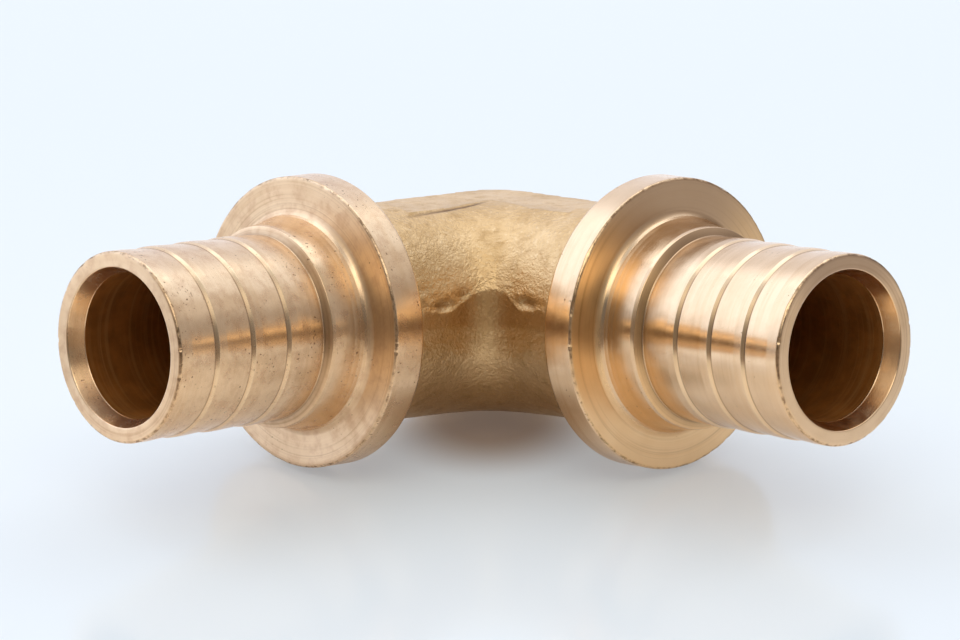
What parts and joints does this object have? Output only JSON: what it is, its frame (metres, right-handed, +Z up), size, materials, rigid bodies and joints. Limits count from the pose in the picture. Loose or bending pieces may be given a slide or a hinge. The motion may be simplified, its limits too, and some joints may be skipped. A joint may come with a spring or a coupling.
{
  "type": "pex elbow",
  "caption": "Right-angle forged brass elbow with barbed spigots and stop flanges, for joining plastic water pipe.",
  "frame": {"origin": "on the surface it lies on, under the middle of its bounding box", "axes": "+Z up, as it lies on a table with both open ends facing -Y and tipped up; the legs spread equally to -X and +X, and X = 0 is its plane of symmetry"},
  "size_m": [0.0754, 0.047, 0.0266],
  "materials": {
    "brass": "turned bright on the spigots and flanges, fine sandy forged skin on the body"
  },
  "bodies": {
    "root": {"elbow_body": "brass"}
  },
  "joints": []
}
